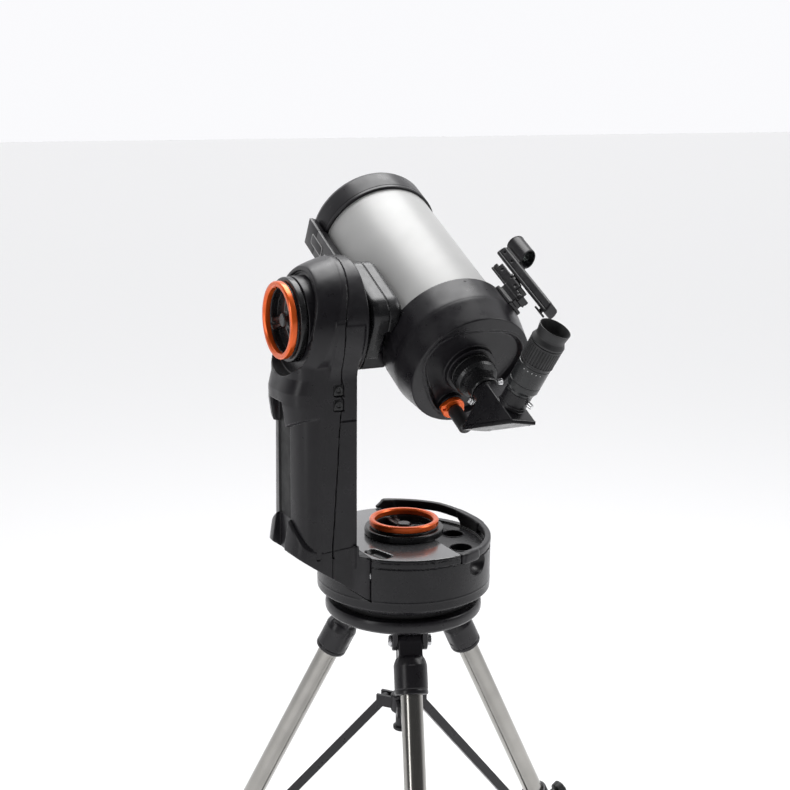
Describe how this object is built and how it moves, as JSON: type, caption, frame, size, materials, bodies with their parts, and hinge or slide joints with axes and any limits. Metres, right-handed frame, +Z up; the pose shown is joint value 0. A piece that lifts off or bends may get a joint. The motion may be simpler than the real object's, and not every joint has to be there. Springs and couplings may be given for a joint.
{
  "type": "schmidt cassegrain telescope",
  "caption": "Catadioptric telescope: silver tube on a motorised single-arm altazimuth mount with orange clutch rings, star diagonal, zoom eyepiece, red-dot finder and folding steel tripod.",
  "frame": {"origin": "on the floor under the azimuth axis", "axes": "+Z up along the azimuth axis; the fork arm stands on the -X side and the altitude axis runs along X; +Y is the way the optical tube points at rest, 27.62 degrees above the horizon"},
  "size_m": [0.7218, 0.7634, 1.3203],
  "materials": {
    "casing": "fine satin grain",
    "black_metal": "cast, satin powder coat",
    "orange_anodised": "satin anodised",
    "silver_tube": "satin pearl paint",
    "grey_metal": "cast, satin paint",
    "stainless": "turned along its length",
    "steel": "satin",
    "brass": "machined",
    "thumb_screw_steel": "knurled and plated",
    "glass": "coated",
    "mirror": "polished",
    "eyepiece_black": "matt anodised",
    "grip_rubber": "ribbed",
    "battery": "shrink wrap"
  },
  "bodies": {
    "tripod": {"tripod_head": "black_metal", "hinge_bolts": "steel", "base_plate": "black_metal", "azimuth_gear": "brass"},
    "mount": {"base_body": "casing", "carry_handle": "casing", "arm_inner_shell": "casing", "arm_outer_shell": "casing", "sockets": "casing", "battery_pack": "battery", "drive_motors": "steel"},
    "power_button": {"power_button": "casing"},
    "azimuth_worm": {"azimuth_worm": "steel"},
    "altitude_worm": {"altitude_worm": "steel"},
    "azimuth_clutch": {"azimuth_knob": "casing", "azimuth_ring": "orange_anodised"},
    "altitude_clutch": {"altitude_knob": "casing", "altitude_ring": "orange_anodised"},
    "optical_tube": {"altitude_shaft": "grey_metal", "saddle": "grey_metal", "dovetail_bar": "black_metal", "main_tube": "silver_tube", "front_cell": "black_metal", "corrector_plate": "glass", "secondary_mirror": "black_metal", "rear_cell": "black_metal", "baffle_tube": "black_metal", "visual_back": "black_metal", "thumb_screws": "thumb_screw_steel", "focus_flange": "orange_anodised", "finder_bracket": "black_metal"},
    "clamp_jaw": {"clamp_jaw": "black_metal"},
    "saddle_knob": {"saddle_knob": "casing"},
    "primary_mirror": {"primary_mirror": "mirror"},
    "focus_knob": {"focus_knob": "grip_rubber"},
    "diagonal": {"star_diagonal": "eyepiece_black", "diagonal_mirror": "mirror"},
    "eyepiece": {"eyepiece_body": "eyepiece_black"},
    "zoom_ring": {"zoom_ring": "grip_rubber"},
    "finder": {"finder_body": "casing"},
    "finder_switch": {"finder_switch": "casing"},
    "brace_runner": {"brace_runner": "casing"},
    "leg_1": {"leg_sleeve_1": "casing", "leg_tube_1": "stainless", "leg_collar_1": "casing"},
    "leg_1_lower": {"leg_lower_1": "stainless"},
    "leg_1_knob": {"leg_knob_1": "casing"},
    "brace_1": {"brace_arm_1": "black_metal"},
    "leg_2": {"leg_sleeve_2": "casing", "leg_tube_2": "stainless", "leg_collar_2": "casing"},
    "leg_2_lower": {"leg_lower_2": "stainless"},
    "leg_2_knob": {"leg_knob_2": "casing"},
    "brace_2": {"brace_arm_2": "black_metal"},
    "leg_3": {"leg_sleeve_3": "casing", "leg_tube_3": "stainless", "leg_collar_3": "casing"},
    "leg_3_lower": {"leg_lower_3": "stainless"},
    "leg_3_knob": {"leg_knob_3": "casing"},
    "brace_3": {"brace_arm_3": "black_metal"}
  },
  "joints": [
    {"name": "azimuth_turn", "type": "hinge", "parent": "tripod", "child": "mount", "pos_m": [0, 0, 0], "axis": [0, 0, 1], "continuous": true},
    {"name": "azimuth_worm_turn", "type": "hinge", "parent": "mount", "child": "azimuth_worm", "pos_m": [-0.0785, 0, 0.7185], "axis": [0, 1, 0], "continuous": true},
    {"name": "azimuth_knob_turn", "type": "hinge", "parent": "mount", "child": "azimuth_clutch", "pos_m": [0, 0, 0.82], "axis": [0, 0, 1], "range_deg": [0, 180]},
    {"name": "altitude_tilt", "type": "hinge", "parent": "mount", "child": "optical_tube", "pos_m": [0, 0, 1.1331], "axis": [1, 0, 0], "range_deg": [-27, 62]},
    {"name": "altitude_worm_turn", "type": "hinge", "parent": "mount", "child": "altitude_worm", "pos_m": [-0.1265, 0.0485, 1.1331], "axis": [0, 0, 1], "range_deg": [-2160, 4960]},
    {"name": "altitude_knob_turn", "type": "hinge", "parent": "mount", "child": "altitude_clutch", "pos_m": [0, 0, 1.1331], "axis": [-1, 0, 0], "range_deg": [0, 180]},
    {"name": "saddle_knob_turn", "type": "hinge", "parent": "optical_tube", "child": "saddle_knob", "pos_m": [-0.0826, 0.02782, 1.07994], "axis": [0, 0.4636, -0.886], "range_deg": [0, 720]},
    {"name": "clamp_jaw_slide", "type": "slide", "parent": "optical_tube", "child": "clamp_jaw", "axis": [0, 0.4636, -0.886], "range_m": [0, 0.0025]},
    {"name": "power_button_press", "type": "slide", "parent": "mount", "child": "power_button", "axis": [0.2756, -0.9613, 0], "range_m": [0, 0.002], "stiffness_N_per_m": 300, "springref_m": -0.002},
    {"name": "focus_knob_turn", "type": "hinge", "parent": "optical_tube", "child": "focus_knob", "pos_m": [0.0219, -0.12188, 0.99935], "axis": [0, 0.886, 0.4636], "range_deg": [-4320, 4320]},
    {"name": "primary_mirror_slide", "type": "slide", "parent": "optical_tube", "child": "primary_mirror", "axis": [0, 0.886, 0.4636], "range_m": [-0.009, 0.009]},
    {"name": "diagonal_turn", "type": "hinge", "parent": "optical_tube", "child": "diagonal", "pos_m": [0.0359, -0.21974, 1.01813], "axis": [0, 0.886, 0.4636], "range_deg": [-100, 100]},
    {"name": "eyepiece_slide", "type": "slide", "parent": "diagonal", "child": "eyepiece", "axis": [0.2079, -0.4535, 0.8667], "range_m": [0, 0.025]},
    {"name": "zoom_turn", "type": "hinge", "parent": "eyepiece", "child": "zoom_ring", "pos_m": [0.04594, -0.24164, 1.05999], "axis": [0.2079, -0.4535, 0.8667], "range_deg": [0, 120]},
    {"name": "finder_tilt", "type": "hinge", "parent": "optical_tube", "child": "finder", "pos_m": [0.12394, -0.09663, 1.18189], "axis": [0.7071, 0.3278, -0.6265], "range_deg": [-3, 3]},
    {"name": "finder_switch_turn", "type": "hinge", "parent": "finder", "child": "finder_switch", "pos_m": [0.12499, -0.16269, 1.14853], "axis": [-0.7071, 0.3278, -0.6265], "range_deg": [0, 270]},
    {"name": "leg_1_fold", "type": "hinge", "parent": "tripod", "child": "leg_1", "pos_m": [-0.03189, -0.08202, 0.66], "axis": [0.932, -0.3624, 0], "range_deg": [0, 24]},
    {"name": "leg_1_extend", "type": "slide", "parent": "leg_1", "child": "leg_1_lower", "axis": [-0.1645, -0.4231, -0.891], "range_m": [0, 0.33]},
    {"name": "leg_1_knob_turn", "type": "hinge", "parent": "leg_1", "child": "leg_1_knob", "pos_m": [-0.1205, -0.30987, 0.2683], "axis": [-0.3229, -0.8304, 0.454], "range_deg": [0, 720]},
    {"name": "brace_1_fold", "type": "hinge", "parent": "leg_1", "child": "brace_1", "pos_m": [-0.09495, -0.24417, 0.24585], "axis": [0.932, -0.3624, 0], "range_deg": [0, 8.5]},
    {"name": "leg_2_fold", "type": "hinge", "parent": "tripod", "child": "leg_2", "pos_m": [-0.05508, 0.06863, 0.66], "axis": [-0.7799, -0.6259, 0], "range_deg": [0, 24]},
    {"name": "leg_2_extend", "type": "slide", "parent": "leg_2", "child": "leg_2_lower", "axis": [-0.2842, 0.3541, -0.891], "range_m": [0, 0.33]},
    {"name": "leg_2_knob_turn", "type": "hinge", "parent": "leg_2", "child": "leg_2_knob", "pos_m": [-0.2081, 0.25929, 0.2683], "axis": [-0.5577, 0.6949, 0.454], "range_deg": [0, 720]},
    {"name": "brace_2_fold", "type": "hinge", "parent": "leg_2", "child": "brace_2", "pos_m": [-0.16398, 0.20432, 0.24585], "axis": [-0.7799, -0.6259, 0], "range_deg": [0, 8.5]},
    {"name": "leg_3_fold", "type": "hinge", "parent": "tripod", "child": "leg_3", "pos_m": [0.08698, 0.01339, 0.66], "axis": [-0.1521, 0.9884, 0], "range_deg": [0, 24]},
    {"name": "leg_3_extend", "type": "slide", "parent": "leg_3", "child": "leg_3_lower", "axis": [0.4487, 0.0691, -0.891], "range_m": [0, 0.33]},
    {"name": "leg_3_knob_turn", "type": "hinge", "parent": "leg_3", "child": "leg_3_knob", "pos_m": [0.32861, 0.05058, 0.2683], "axis": [0.8806, 0.1355, 0.454], "range_deg": [0, 720]},
    {"name": "brace_3_fold", "type": "hinge", "parent": "leg_3", "child": "brace_3", "pos_m": [0.25894, 0.03985, 0.24585], "axis": [-0.1521, 0.9884, 0], "range_deg": [0, 8.5]},
    {"name": "brace_runner_slide", "type": "slide", "parent": "tripod", "child": "brace_runner", "axis": [0, 0, 1], "range_m": [0, 0.0463]}
  ],
  "couplings": [
    {"joint": "azimuth_worm_turn", "follows": "azimuth_turn", "ratio": 60},
    {"joint": "altitude_worm_turn", "follows": "altitude_tilt", "ratio": 80},
    {"joint": "clamp_jaw_slide", "follows": "saddle_knob_turn", "m_per_rad": 0.00019892},
    {"joint": "primary_mirror_slide", "follows": "focus_knob_turn", "m_per_rad": 0.000119},
    {"joint": "brace_1_fold", "follows": "leg_1_fold", "ratio": 0.3446},
    {"joint": "leg_2_fold", "follows": "leg_1_fold", "ratio": 1},
    {"joint": "brace_2_fold", "follows": "leg_1_fold", "ratio": 0.3446},
    {"joint": "leg_3_fold", "follows": "leg_1_fold", "ratio": 1},
    {"joint": "brace_3_fold", "follows": "leg_1_fold", "ratio": 0.3446},
    {"joint": "brace_runner_slide", "follows": "leg_1_fold", "m_per_rad": 0.11034}
  ]
}
